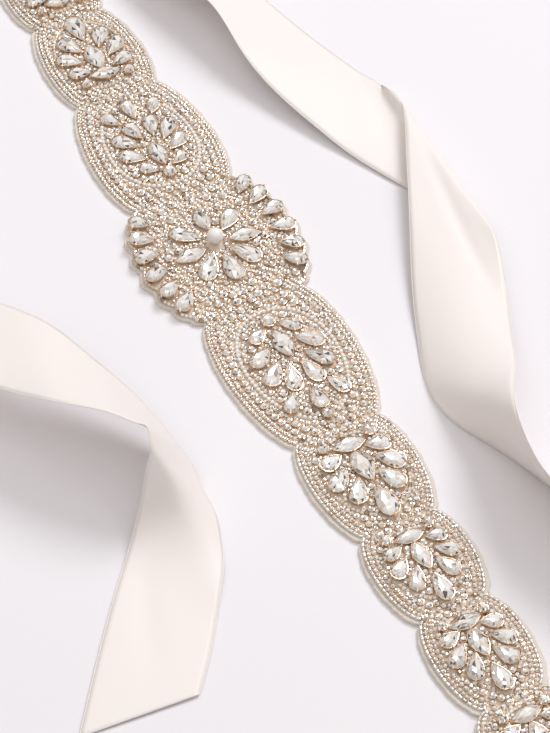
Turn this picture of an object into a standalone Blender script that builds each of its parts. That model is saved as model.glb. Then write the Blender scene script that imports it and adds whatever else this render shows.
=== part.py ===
"""A bridal sash: eleven beaded motifs on a scalloped backing, with two satin ties.

Metres. The beaded band runs along X, its top faces +Z, and the origin is the
middle of the medallion's flat underside, on the surface the sash lies on.
"""
import math

import bmesh
import bpy
import numpy as np

# Sizes in millimetres; MM turns them into metres.
MM = 0.001
RIBBON_THICK = 1.0
REST_HEIGHT = 0.8
RIBBON_STEP = 7.0
SEAM = 0.3
BACKING_THICK = 1.6
BACKING_MARGIN = 1.4
MOTIF_BASE = BACKING_THICK + SEAM
BACKING_STEP = 2.6
LIFT_START = 250.5
LIFT_SLOPE = 0.104
SWELL = 0.65
PETAL_DEPTH = 2.1
PETAL_TURN = 20.0
PETAL_START = 44.0
PEARL_RADIUS = 3.4

# One row for each motif: its ends along X, the half width at each end, the
# widest half width, the points along one side, and which way it opens.
MOTIFS = (
    # name             kind         from x   to x   end w  end w  widest  points  opens
    ("motif_a4",        "small",     -272.0, -229.0,   0.0,  11.5,  18.0,  15,   -1),
    ("motif_a3",        "small",     -229.0, -187.0,  11.5,  12.6,  18.4,  14,   -1),
    ("motif_a2",        "small",     -187.0, -144.5,  12.6,  14.2,  19.2,  14,   -1),
    ("motif_a1",        "small",     -144.5,  -95.5,  14.2,  16.4,  21.0,  15,   -1),
    ("motif_big_a",     "big",        -95.5,  -33.0,  16.4,  20.0,  25.8,  18,   -1),
    ("motif_medallion", "medallion",  -33.0,   30.5,  20.0,  20.0,  31.2,  40,    1),
    ("motif_big_b",     "big",         30.5,   98.5,  20.0,  16.4,  26.4,  18,    1),
    ("motif_b1",        "small",       98.5,  146.5,  16.4,  14.2,  21.4,  15,    1),
    ("motif_b2",        "small",      146.5,  187.0,  14.2,  12.6,  19.4,  14,    1),
    ("motif_b3",        "small",      187.0,  229.0,  12.6,  11.5,  18.4,  14,    1),
    ("motif_b4",        "small",      229.0,  272.0,  11.5,   0.0,  18.0,  15,    1),
)

# The rings of a motif's body: how much of the outline, and the height over
# the backing's top. The first is the plain underside.
MOTIF_RINGS = (
    # share   height
    (1.000,   0.0),
    (1.000,   1.5),
    (0.955,   2.0),
    (0.800,   2.4),
    (0.500,   2.9),
)

# Large stones of each kind, in a motif of the length and half width below.
# Along runs the way the motif opens; a stone's wide end points along its heading.
STONES = {
    "small": (
        # shape     along  side  heading  length  width
        ("navette", -13.5,   0.0,    90.0,  14.5,   7.5),
        ("navette",  -3.0,   0.0,     0.0,  16.5,   8.6),
        ("pear",     -9.2,   9.4,    72.0,  10.5,   6.8),
        ("pear",     -9.2,  -9.4,   -72.0,  10.5,   6.8),
        ("pear",     -1.0,  10.4,    50.0,  12.5,   7.6),
        ("pear",     -1.0, -10.4,   -50.0,  12.5,   7.6),
        ("pear",      6.4,   6.8,    28.0,  13.0,   7.6),
        ("pear",      6.4,  -6.8,   -28.0,  13.0,   7.6),
        ("pear",     14.6,   0.0,     0.0,  15.0,   8.4),
        ("round",   -16.0,   9.6,     0.0,   4.6,   4.6),
        ("round",   -16.0,  -9.6,     0.0,   4.6,   4.6),
    ),
    "big": (
        ("round",   -21.6,   0.0,     0.0,   6.0,   6.0),
        ("pear",    -16.5,   6.8,    62.0,   9.5,   6.0),
        ("pear",    -16.5,  -6.8,   -62.0,   9.5,   6.0),
        ("navette",  -9.5,   0.0,     0.0,  16.0,   8.2),
        ("pear",     -7.0,  10.2,    58.0,  12.5,   7.2),
        ("pear",     -7.0, -10.2,   -58.0,  12.5,   7.2),
        ("pear",      2.2,   9.6,    40.0,  13.5,   7.6),
        ("pear",      2.2,  -9.6,   -40.0,  13.5,   7.6),
        ("pear",      7.0,   4.1,    14.0,  13.0,   7.2),
        ("pear",      7.0,  -4.1,   -14.0,  13.0,   7.2),
        ("pear",     17.4,   9.8,    33.0,  10.5,   6.4),
        ("pear",     17.4,  -9.8,   -33.0,  10.5,   6.4),
        ("pear",     19.6,   0.0,     0.0,  11.5,   7.0),
        ("round",    27.8,   0.0,     0.0,   4.6,   4.6),
    ),
    "medallion": (
        ("pear",      9.0,  -7.8,   -38.0,  14.5,   7.8),
        ("pear",     12.8,   0.0,     0.0,  15.0,   8.2),
        ("pear",      9.0,   7.8,    38.0,  14.5,   7.8),
        ("navette",   0.8,  11.8,    84.0,  14.5,   7.2),
        ("navette",   0.8, -11.8,   -84.0,  14.5,   7.2),
        ("pear",     -9.2,   9.4,   132.0,  13.5,   7.4),
        ("pear",     -9.2,  -9.4,  -132.0,  13.5,   7.4),
        ("navette", -13.8,   0.0,   180.0,  13.0,   7.0),
        ("pear",     20.3,  23.6,    49.0,  11.0,   6.8),
        ("pear",     20.3, -23.6,   -49.0,  11.0,   6.8),
        ("pear",     12.2,  26.2,    65.0,  11.0,   6.8),
        ("pear",     12.2, -26.2,   -65.0,  11.0,   6.8),
        ("pear",      2.9,  27.4,    84.0,  11.0,   6.8),
        ("pear",      2.9, -27.4,   -84.0,  11.0,   6.8),
        ("pear",     -6.7,  27.2,   104.0,  11.0,   6.8),
        ("pear",     -6.7, -27.2,  -104.0,  11.0,   6.8),
        ("pear",    -15.6,  25.4,   122.0,  11.0,   6.8),
        ("pear",    -15.6, -25.4,  -122.0,  11.0,   6.8),
        ("pear",    -23.5,  22.8,   136.0,   9.5,   6.2),
        ("pear",    -23.5, -22.8,  -136.0,   9.5,   6.2),
    ),
}
KIND_LENGTH = {"small": 48.0, "big": 68.0, "medallion": 63.5}
KIND_WIDTH = {"small": 21.2, "big": 26.2, "medallion": 31.2}

# Heights of a stone's rings over the backing's top, and their share of its
# outline: foot, girdle, table.
STONE_RINGS = (
    # height  share
    (1.3,     0.84),
    (3.7,     1.00),
    (4.9,     0.52),
)

# The tie at the upper left: a row for each section across it, with both selvedges and
# the rise of its middle, in millimetres.
TIE_A = (
    # along  left x  left y  left z  right x  right y  right z   bow
    (  0.0,  -262.0,   -19.0,    0.8,   -262.0,     19.0,      0.8,    0.0),
    ( 34.0,  -296.0,   -19.0,    0.8,   -296.0,     19.0,      0.8,    0.0),
    ( 70.0,  -333.5,   -19.1,    2.3,   -327.7,     17.3,     12.9,    0.0),
    (105.0,  -367.8,   -13.2,    0.8,   -355.8,      7.6,     31.2,    0.0),
    (140.0,  -393.7,   -24.8,    9.3,   -376.2,    -22.0,     42.9,    0.0),
    (175.0,  -391.0,   -56.8,    9.3,   -375.0,    -58.1,     44.0,    0.0),
    (210.0,  -364.1,   -73.4,    2.2,   -356.2,    -88.9,     37.1,    0.0),
    (250.0,  -327.1,   -81.9,    1.2,   -321.5,   -110.4,     28.3,    0.0),
    (290.0,  -290.0,   -91.1,    0.8,   -280.9,   -120.1,     28.3,    0.0),
    (330.0,  -252.7,  -100.2,    0.9,   -239.7,   -124.6,     33.2,    0.0),
    (370.0,  -216.0,  -111.9,    0.8,   -198.4,   -128.6,     37.4,    0.0),
    (410.0,  -180.6,  -127.2,    0.9,   -157.2,   -133.5,     39.4,    0.0),
    (450.0,  -145.2,  -142.6,    2.5,   -116.1,   -138.9,     39.2,    0.0),
    (485.0,  -112.4,  -151.3,    3.0,    -80.3,   -143.3,     37.8,    0.0),
    (515.0,   -83.2,  -148.0,    0.9,    -49.9,   -145.0,     35.8,    0.0),
    (545.0,   -57.5,  -132.2,    2.2,    -20.6,   -141.9,     31.9,    0.0),
    (626.7,     9.6,   -87.4,   23.6,     50.3,   -106.6,     31.5,    0.0),
    (642.6,    23.8,   -78.9,   23.5,     62.3,    -98.1,     36.0,    0.0),
    (656.1,    37.1,   -72.2,   19.1,     71.2,    -90.3,     38.4,    0.0),
    (668.4,    50.4,   -65.9,   15.0,     78.3,    -83.6,     39.7,    0.0),
    (679.9,    64.4,   -60.7,   10.6,     84.3,    -78.4,     39.3,    0.0),
    (689.7,    78.1,   -57.4,    7.0,     88.2,    -75.3,     39.1,    0.0),
    (697.6,    89.8,   -55.7,    4.0,     90.0,    -72.8,     38.0,    0.0),
    (704.8,   100.4,   -55.9,    1.8,     93.0,    -72.9,     35.4,    0.0),
    (713.7,   112.7,   -56.8,    0.8,     96.7,    -74.5,     31.3,    0.0),
    (723.2,   123.6,   -60.2,    0.8,     97.4,    -76.9,     23.2,    0.0),
    (731.9,   132.2,   -63.6,    1.1,     99.1,    -79.4,     14.1,    0.0),
    (742.6,   140.1,   -68.3,    1.6,    105.8,    -86.0,      5.0,    0.0),
    (764.6,   153.6,   -77.4,    0.9,    126.1,   -103.5,      0.8,    0.0),
    (783.9,   164.5,   -84.9,    0.8,    146.2,   -119.2,      0.8,    0.0),
    (810.0,   178.0,   -96.0,    1.2,    174.3,   -139.8,      0.8,    0.0),
)

# The tie at the lower right: a row for each section across it, with both selvedges and
# the rise of its middle, in millimetres.
TIE_B = (
    # along  left x  left y  left z  right x  right y  right z   bow
    (  0.0,   262.0,    19.0,    0.8,    262.0,    -19.0,      0.8,    0.0),
    ( 34.0,   296.0,    19.0,    0.8,    296.0,    -19.0,      0.8,    0.0),
    ( 70.0,   333.5,    18.9,    2.2,    328.0,    -17.6,     12.5,    0.0),
    (105.0,   367.7,    13.4,    0.8,    356.8,     -8.7,     30.4,    0.0),
    (140.0,   395.7,    22.5,    7.8,    380.2,     17.6,     42.2,    0.0),
    (175.0,   395.2,    54.7,    9.3,    382.3,     52.7,     45.1,    0.0),
    (210.0,   366.4,    71.5,    3.1,    361.6,     79.9,     40.0,    0.0),
    (250.0,   325.8,    72.5,    1.3,    324.5,     89.2,     35.3,    0.0),
    (295.0,   278.8,    70.5,    0.8,    282.1,     82.1,     37.1,    0.0),
    (340.0,   231.3,    70.1,    0.8,    241.3,     69.7,     38.6,    0.0),
    (375.0,   194.2,    66.4,    1.5,    210.7,     57.9,     37.5,    0.0),
    (400.0,   167.7,    60.9,    1.9,    189.3,     49.4,     36.0,    0.0),
    (420.0,   146.7,    54.5,    1.5,    171.7,     44.9,     36.0,    0.0),
    (436.0,   130.3,    48.1,    0.9,    157.4,     45.5,     37.0,    0.0),
    (452.0,   114.1,    41.1,    0.8,    143.6,     49.1,     36.4,    0.0),
    (467.0,    97.8,    40.3,    1.5,    132.0,     54.6,     32.9,    0.0),
    (483.0,    80.7,    45.8,    1.6,    121.7,     61.8,     26.6,    0.0),
    (498.0,    65.0,    52.4,    2.5,    112.4,     68.2,     19.9,    0.0),
    (514.0,    48.4,    60.0,    4.4,    101.5,     74.1,     13.8,    0.0),
    (532.0,    30.0,    69.3,    6.8,     88.3,     80.7,      9.6,    0.0),
    (551.5,    10.1,    79.4,    8.0,     73.3,     87.6,      8.7,    0.0),
    (572.0,   -11.0,    90.0,    8.3,     57.4,     93.9,     10.5,    0.0),
    (588.0,   -27.4,    98.2,    7.8,     44.7,     97.1,     11.1,    0.0),
    (596.0,   -35.7,   100.7,    6.8,     38.1,     97.1,      9.4,    0.0),
    (604.0,   -44.1,    99.9,    5.4,     31.6,     95.7,      7.2,    0.0),
    (612.0,   -50.0,   100.0,    2.6,     22.0,     90.5,      3.2,    0.0),
    (624.0,   -57.5,    97.5,    1.4,      7.5,     83.8,      1.2,    0.0),
    (640.0,   -63.2,    95.5,    0.8,     -8.4,     76.4,      1.3,    0.8),
    (657.0,   -69.9,    93.4,    0.8,    -23.9,     69.6,      2.2,    1.2),
    (674.0,   -78.9,    90.6,    0.8,    -38.8,     64.1,      4.4,    1.5),
    (692.0,   -91.0,    87.1,    0.8,    -53.8,     59.1,      6.5,    1.8),
    (710.0,  -106.7,    83.2,    0.8,    -70.5,     54.6,      9.7,    1.8),
    (730.0,  -122.9,    79.5,    0.8,    -88.0,     51.9,     14.9,    1.5),
    (750.0,  -139.4,    75.7,    0.8,   -106.8,     50.5,     20.3,    1.0),
    (772.0,  -156.2,    72.1,    0.8,   -128.3,     44.8,     20.1,    0.6),
    (796.0,  -173.3,    68.8,    0.8,   -151.3,     38.0,     16.9,    0.0),
    (822.0,  -190.2,    65.6,    0.9,   -174.8,     31.5,     12.1,    0.0),
    (850.0,  -206.9,    62.3,    0.9,   -198.1,     25.7,      6.7,    0.0),
    (872.0,  -223.3,    58.9,    0.8,   -221.4,     20.4,      0.8,    0.0),
)

# The stretches of each tie: its span along it, and the walls across it.
STRETCHES = (
    # name              tie    from     to   across
    ("tie_a_root",      "a",     4.0,   92.0,  1),
    ("tie_a_turn_out",  "a",    92.0,  165.0,  1),
    ("tie_a_turn_back", "a",   165.0,  236.0,  1),
    ("tie_a_run_far",   "a",   236.0,  420.0,  1),
    ("tie_a_run_near",  "a",   420.0,  635.0,  1),
    ("tie_a_crest",     "a",   635.0,  757.0,  1),
    ("tie_a_end",       "a",   757.0,  810.0,  1),
    ("tie_b_root",      "b",     4.0,   92.0,  1),
    ("tie_b_turn_out",  "b",    92.0,  165.0,  1),
    ("tie_b_turn_back", "b",   165.0,  236.0,  1),
    ("tie_b_return",    "b",   236.0,  440.0,  1),
    ("tie_b_slope",     "b",   440.0,  545.0,  1),
    ("tie_b_fold",      "b",   545.0,  640.0,  1),
    ("tie_b_under",     "b",   640.0,  872.0,  6),
)
TIE_START = 4.0
TIES = {"a": TIE_A, "b": TIE_B}

COLOURS = {
    # name      red    green  blue   metal  rough
    "satin":   (0.86,  0.80,  0.74,  0.0,   0.42),
    "backing": (0.84,  0.77,  0.68,  0.0,   0.80),
    "beads":   (0.80,  0.70,  0.58,  0.35,  0.30),
}


def clear_scene():
    """Remove every object the new file starts with."""
    for item in list(bpy.data.objects):
        bpy.data.objects.remove(item, do_unlink=True)


def make_material(name):
    """Return a plain Principled material from the colour table."""
    red, green, blue, metal, rough = COLOURS[name]
    material = bpy.data.materials.new("sash_" + name)
    material.use_nodes = True
    shader = material.node_tree.nodes["Principled BSDF"]
    shader.inputs["Base Color"].default_value = (red, green, blue, 1.0)
    shader.inputs["Metallic"].default_value = metal
    shader.inputs["Roughness"].default_value = rough
    return material


def make_object(name, mesh, material, home):
    """Link a mesh as a named object with its material."""
    item = bpy.data.objects.new(name, mesh)
    mesh.name = name
    mesh.materials.clear()
    mesh.materials.append(material)
    home.objects.link(item)
    return item


def mesh_from(points, faces):
    """Return a closed, outward mesh from points in millimetres."""
    mesh = bpy.data.meshes.new("shape")
    mesh.from_pydata([tuple(float(c) * MM for c in p) for p in points], [], faces)
    shape = bmesh.new()
    shape.from_mesh(mesh)
    bmesh.ops.recalc_face_normals(shape, faces=shape.faces)
    bmesh.ops.triangulate(shape, faces=shape.faces)
    shape.to_mesh(mesh)
    shape.free()
    return mesh


def lift(x):
    """Rise of the band's ends over the roots of the ties."""
    return LIFT_SLOPE * max(abs(x) - LIFT_START, 0.0)


def half_width(motif, share):
    """Half width of a motif at a share of its length."""
    kind, first, last, widest = motif[1], motif[4], motif[5], motif[6]
    even = first + (last - first) * share
    swell = (widest - (first + last) / 2) * (4 * share * (1 - share)) ** SWELL
    petal = 0.0
    if kind == "medallion":
        turn = math.degrees(math.acos((2 * share - 1) * 0.95))
        petal = abs(math.cos(math.pi * (turn - PETAL_START) / PETAL_TURN))
        petal *= PETAL_DEPTH * (4 * share * (1 - share)) ** 0.3
    return even + swell + petal


def side_points(motif, count):
    """Points along one side of a motif, from its first end to its last."""
    x_from, x_to = motif[2], motif[3]
    points = []
    for index in range(count + 1):
        turn = index / count
        share = turn
        if motif[4] == 0.0:
            share = 1.0 - math.cos(turn * math.pi / 2)
        if motif[5] == 0.0:
            share = math.sin(turn * math.pi / 2)
        points.append((x_from + (x_to - x_from) * share, half_width(motif, share)))
    return points


def outline(motif):
    """Closed outline of a motif, kept half a seam inside its two ends."""
    x_from, x_to = motif[2], motif[3]
    side = side_points(motif, motif[7])
    near = x_from + (SEAM / 2 if motif[4] else 0.0)
    far = x_to - (SEAM / 2 if motif[5] else 0.0)
    side = [(min(max(x, near), far), y) for x, y in side]
    loop = [(x, -y) for x, y in side if y > 0.05]
    loop += [(x, 0.0) for x, y in side if y <= 0.05 and x > 0]
    loop += [(x, y) for x, y in reversed(side) if y > 0.05]
    loop += [(x, 0.0) for x, y in side if y <= 0.05 and x < 0]
    return loop


def motif_body(motif):
    """Raised body of beads: a plain flat underside and a domed top."""
    loop = outline(motif)
    centre = (motif[2] + motif[3]) / 2
    count = len(loop)
    points = []
    for share, height in MOTIF_RINGS:
        for x, y in loop:
            px = centre + (x - centre) * share
            points.append((px, y * share, MOTIF_BASE + height + lift(px)))
    top = MOTIF_BASE + MOTIF_RINGS[-1][1] + 0.1
    points.append((centre, 0.0, top + lift(centre)))
    points.append((centre, 0.0, MOTIF_BASE + lift(centre)))
    rings = len(MOTIF_RINGS)
    faces = []
    for ring in range(rings - 1):
        for k in range(count):
            j = (k + 1) % count
            a, b = ring * count + k, ring * count + j
            faces.append((a, b, b + count, a + count))
    last = (rings - 1) * count
    for k in range(count):
        j = (k + 1) % count
        faces.append((last + k, last + j, rings * count))
        faces.append((j, k, rings * count + 1))
    return mesh_from(points, faces)


def stone_outline(shape, length, width):
    """Girdle of a stone, its wide end along +X."""
    if shape == "round":
        return [(math.cos(a) * length / 2, math.sin(a) * width / 2)
                for a in (math.pi * (2 * k + 1) / 8 for k in range(8))]
    if shape == "navette":
        rows = ((-0.5, 0.0), (-0.24, 0.40), (0.06, 0.5), (0.32, 0.31), (0.5, 0.0))
    else:
        rows = ((-0.5, 0.0), (-0.10, 0.30), (0.22, 0.5), (0.42, 0.30), (0.5, 0.0))
    loop = [(x * length, -y * width) for x, y in rows]
    loop += [(x * length, y * width) for x, y in reversed(rows[1:-1])]
    return loop


def stone(shape, x, y, heading, length, width, drop):
    """Points and faces of one stone, from its foot to its table."""
    loop = stone_outline(shape, length, width)
    cos, sin = math.cos(heading), math.sin(heading)
    count = len(loop)
    points = []
    for height, share in STONE_RINGS:
        for u, v in loop:
            px = x + (u * cos - v * sin) * share
            py = y + (u * sin + v * cos) * share
            points.append((px, py, MOTIF_BASE + height + drop + lift(x)))
    faces = [tuple(range(count - 1, -1, -1))]
    for ring in range(len(STONE_RINGS) - 1):
        for k in range(count):
            j = (k + 1) % count
            a, b = ring * count + k, ring * count + j
            faces.append((a, b, b + count, a + count))
    faces.append(tuple(range(count * 2, count * 3)))
    return points, faces


def placed_stones(motif):
    """Stones of a motif in the shared frame, from the table of its kind."""
    kind, x_from, x_to, widest, opens = motif[1], motif[2], motif[3], motif[6], motif[8]
    along = (x_to - x_from) / KIND_LENGTH[kind]
    across = widest / KIND_WIDTH[kind]
    size = min(along, across)
    centre = (x_from + x_to) / 2
    rows = []
    for shape, u, v, heading, length, width in STONES[kind]:
        x = centre + u * along * opens
        angle = math.radians(heading)
        if opens < 0:
            angle = math.pi - angle
        rows.append((shape, x, v * across, angle, length * size, width * size))
    return rows


def pearl(x, y, base):
    """Points and faces of the large centre pearl, a ball with a flat foot."""
    points = []
    faces = []
    count = 12
    bands = (-60, -30, 0, 30, 60)
    for band in bands:
        polar = math.radians(band)
        for k in range(count):
            angle = 2 * math.pi * k / count
            points.append((x + PEARL_RADIUS * math.cos(polar) * math.cos(angle),
                           y + PEARL_RADIUS * math.cos(polar) * math.sin(angle),
                           base + PEARL_RADIUS * (1 + math.sin(polar))))
    for ring in range(len(bands) - 1):
        for k in range(count):
            j = (k + 1) % count
            a, b = ring * count + k, ring * count + j
            faces.append((a, b, b + count, a + count))
    faces.append(tuple(range(count - 1, -1, -1)))
    faces.append(tuple(range(count * 4, count * 5)))
    return points, faces


def united(name, base, extra):
    """Join a list of small solids to a base mesh with one exact Boolean."""
    body = bpy.data.objects.new(name + "_body", base)
    bpy.context.scene.collection.objects.link(body)
    made = [body]
    for index, solid in enumerate(extra):
        tool = bpy.data.objects.new("%s_stone_%d" % (name, index), mesh_from(*solid))
        bpy.context.scene.collection.objects.link(tool)
        made.append(tool)
    group = bpy.data.collections.new(name + "_stones")
    for tool in made[1:]:
        group.objects.link(tool)
    joiner = body.modifiers.new("join", "BOOLEAN")
    joiner.operation = "UNION"
    joiner.solver = "EXACT"
    joiner.operand_type = "COLLECTION"
    joiner.collection = group
    seen = body.evaluated_get(bpy.context.evaluated_depsgraph_get())
    mesh = bpy.data.meshes.new_from_object(seen)
    for item in made:
        bpy.data.objects.remove(item, do_unlink=True)
    bpy.data.collections.remove(group)
    shape = bmesh.new()
    shape.from_mesh(mesh)
    bmesh.ops.remove_doubles(shape, verts=shape.verts, dist=0.00002)
    bmesh.ops.dissolve_degenerate(shape, edges=shape.edges, dist=0.00002)
    bmesh.ops.triangulate(shape, faces=shape.faces)
    shape.to_mesh(mesh)
    shape.free()
    return mesh


def build_motif(motif, material, home):
    """One beaded motif with its large stones."""
    solids = []
    for index, row in enumerate(placed_stones(motif)):
        solids.append(stone(*row, 0.013 * (index % 7)))
    if motif[1] == "medallion":
        centre = (motif[2] + motif[3]) / 2
        solids.append(pearl(centre - 1.8, 0.0, MOTIF_BASE + 2.2))
    mesh = united(motif[0], motif_body(motif), solids)
    make_object(motif[0], mesh, material, home)


def build_backing(material, home):
    """The scalloped strip of backing cloth under the whole row of motifs."""
    side = []
    for motif in MOTIFS:
        count = int(math.ceil((motif[3] - motif[2]) / BACKING_STEP))
        if motif[1] == "medallion":
            count = motif[7]
        side += side_points(motif, count)[:-1]
    side.append((MOTIFS[-1][3], 0.0))
    end = side[-1][0]
    near = [(x * (end + BACKING_MARGIN) / end, -(y + BACKING_MARGIN)) for x, y in side]
    near[0] = (near[0][0], -0.9)
    near[-1] = (near[-1][0], -0.9)
    count = len(near)
    points = []
    for height in (0.0, BACKING_THICK):
        points += [(x, y, height + lift(x)) for x, y in near]
        points += [(x, -y, height + lift(x)) for x, y in near]
    faces = []
    for k in range(count - 1):
        low, far = k, k + count
        faces.append((low, far, far + 1, low + 1))
        top, top_far = 2 * count + k, 3 * count + k
        faces.append((top, top + 1, top_far + 1, top_far))
        faces.append((low, low + 1, top + 1, top))
        faces.append((far, top_far, top_far + 1, far + 1))
    for k in (0, count - 1):
        faces.append((k, k + count, 3 * count + k, 2 * count + k))
    make_object("backing", mesh_from(points, faces), material, home)


def spline(knots, values, places):
    """Natural cubic spline through rows of values, read at the places."""
    count = len(knots)
    gap = np.diff(knots)
    system = np.eye(count)
    bend = np.zeros((count, values.shape[1]))
    for k in range(1, count - 1):
        system[k, k - 1] = gap[k - 1]
        system[k, k] = 2 * (gap[k - 1] + gap[k])
        system[k, k + 1] = gap[k]
        ahead = (values[k + 1] - values[k]) / gap[k]
        behind = (values[k] - values[k - 1]) / gap[k - 1]
        bend[k] = 6 * (ahead - behind)
    curve = np.linalg.solve(system, bend)
    k = np.clip(np.searchsorted(knots, places, side="right") - 1, 0, count - 2)
    span = gap[k][:, None]
    a = (knots[k + 1] - places)[:, None] / span
    b = (places - knots[k])[:, None] / span
    flat = a * values[k] + b * values[k + 1]
    return flat + ((a ** 3 - a) * curve[k] + (b ** 3 - b) * curve[k + 1]) * span ** 2 / 6


def tie_places(table, start, stop):
    """Distances along a tie at which a stretch is given a section."""
    knots = [row[0] for row in table]
    first = start + (SEAM / 2 if start > TIE_START else 0.0)
    last = stop - (SEAM / 2 if stop < knots[-1] else 0.0)
    marks = [first] + [k for k in knots if first + 2 < k < last - 2] + [last]
    places = []
    for near, far in zip(marks[:-1], marks[1:]):
        steps = max(1, int(math.ceil((far - near) / RIBBON_STEP)))
        places += list(np.linspace(near, far, steps, endpoint=False))
    return np.array(places + [last])


def tie_points(table, places, share):
    """Points of a tie's middle face at a share of its width, right to left."""
    rows = np.array(table)
    read = spline(rows[:, 0], rows[:, 1:], places)
    read[:, 2] = np.maximum(read[:, 2], REST_HEIGHT)
    read[:, 5] = np.maximum(read[:, 5], REST_HEIGHT)
    left, right, bow = read[:, 0:3], read[:, 3:6], read[:, 6:7]
    rise = 4 * share * (1 - share) * np.maximum(bow, 0.0) * np.array([0.0, 0.0, 1.0])
    return right + (left - right) * share + rise


def build_stretch(row, material, home):
    """One stretch of a ribbon tie: a wall of even thickness."""
    name, tie, start, stop, across = row
    table = TIES[tie]
    places = tie_places(table, start, stop)
    end = table[-1][0]
    upper = []
    lower = []
    for index in range(across + 1):
        share = index / across
        here = tie_points(table, places, share)
        run = tie_points(table, np.minimum(places + 0.5, end), share)
        run = run - tie_points(table, np.maximum(places - 0.5, 0.0), share)
        side = tie_points(table, places, min(share + 0.01, 1.0))
        side = side - tie_points(table, places, max(share - 0.01, 0.0))
        up = np.cross(run, side)
        up = up / np.linalg.norm(up, axis=1)[:, None] * RIBBON_THICK / 2
        upper.append(here + up)
        lower.append(here - up)
    loops = np.array(upper + lower[::-1]).transpose(1, 0, 2)
    count, size = len(places), 2 * (across + 1)
    faces = []
    for k in range(count - 1):
        for side in range(size):
            a, b = size * k + side, size * k + (side + 1) % size
            faces.append((a, b, b + size, a + size))
    for first in (0, size * (count - 1)):
        for side in range(across):
            a, b = first + side, first + size - 1 - side
            faces.append((a, a + 1, b - 1, b))
    make_object(name, mesh_from(loops.reshape(-1, 3), faces), material, home)


def main():
    """Build the whole sash."""
    clear_scene()
    home = bpy.data.collections.new("bridal_sash")
    bpy.context.scene.collection.children.link(home)
    paint = {name: make_material(name) for name in COLOURS}
    build_backing(paint["backing"], home)
    for motif in MOTIFS:
        build_motif(motif, paint["beads"], home)
    for row in STRETCHES:
        build_stretch(row, paint["satin"], home)


main()
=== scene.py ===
"""The looks of the bridal sash: beadwork, satin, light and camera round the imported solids.

The tables of motifs, stones and ties repeat those of the part's source, so every
piece lies on its own solid. Sizes are in millimetres unless a name ends in _M, and
angles are in degrees.
"""

import math
from collections import namedtuple

import bpy
import numpy as np
from mathutils import Matrix, Vector


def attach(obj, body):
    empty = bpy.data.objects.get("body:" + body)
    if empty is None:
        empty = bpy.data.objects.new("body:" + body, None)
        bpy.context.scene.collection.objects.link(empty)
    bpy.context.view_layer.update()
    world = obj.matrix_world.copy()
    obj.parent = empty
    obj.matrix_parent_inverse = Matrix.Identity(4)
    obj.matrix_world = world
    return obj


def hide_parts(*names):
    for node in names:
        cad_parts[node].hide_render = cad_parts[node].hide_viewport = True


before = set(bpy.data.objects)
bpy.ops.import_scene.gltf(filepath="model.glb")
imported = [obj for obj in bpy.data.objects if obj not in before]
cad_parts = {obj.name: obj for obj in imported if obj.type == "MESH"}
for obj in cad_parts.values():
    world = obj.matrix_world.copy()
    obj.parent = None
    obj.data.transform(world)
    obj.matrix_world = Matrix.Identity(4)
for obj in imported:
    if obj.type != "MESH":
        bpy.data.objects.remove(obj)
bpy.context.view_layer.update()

MM = 0.001

# Sizes shared with the solids.
REST_HEIGHT = 0.8
BACKING_THICK = 1.6
BACKING_MARGIN = 1.4
MOTIF_BASE = 1.9
LIFT_START = 250.5
LIFT_SLOPE = 0.104
SWELL = 0.65
PETAL_DEPTH = 2.1
PETAL_TURN = 20.0
PETAL_START = 44.0
PETAL_SPREAD = 0.95
PETAL_FADE = 0.3
PEARL_RADIUS = 3.4

# One row for each motif: its ends along X, the half width at each end, the
# widest half width, and which way it opens.
Motif = namedtuple("Motif", "name kind start end first last widest opens")
MOTIFS = [Motif(*row) for row in (
    ("motif_a4", "small", -272, -229, 0, 11.5, 18, -1),
    ("motif_a3", "small", -229, -187, 11.5, 12.6, 18.4, -1),
    ("motif_a2", "small", -187, -144.5, 12.6, 14.2, 19.2, -1),
    ("motif_a1", "small", -144.5, -95.5, 14.2, 16.4, 21, -1),
    ("motif_big_a", "big", -95.5, -33, 16.4, 20, 25.8, -1),
    ("motif_medallion", "medallion", -33, 30.5, 20, 20, 31.2, 1),
    ("motif_big_b", "big", 30.5, 98.5, 20, 16.4, 26.4, 1),
    ("motif_b1", "small", 98.5, 146.5, 16.4, 14.2, 21.4, 1),
    ("motif_b2", "small", 146.5, 187, 14.2, 12.6, 19.4, 1),
    ("motif_b3", "small", 187, 229, 12.6, 11.5, 18.4, 1),
    ("motif_b4", "small", 229, 272, 11.5, 0, 18, 1),
)]

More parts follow.
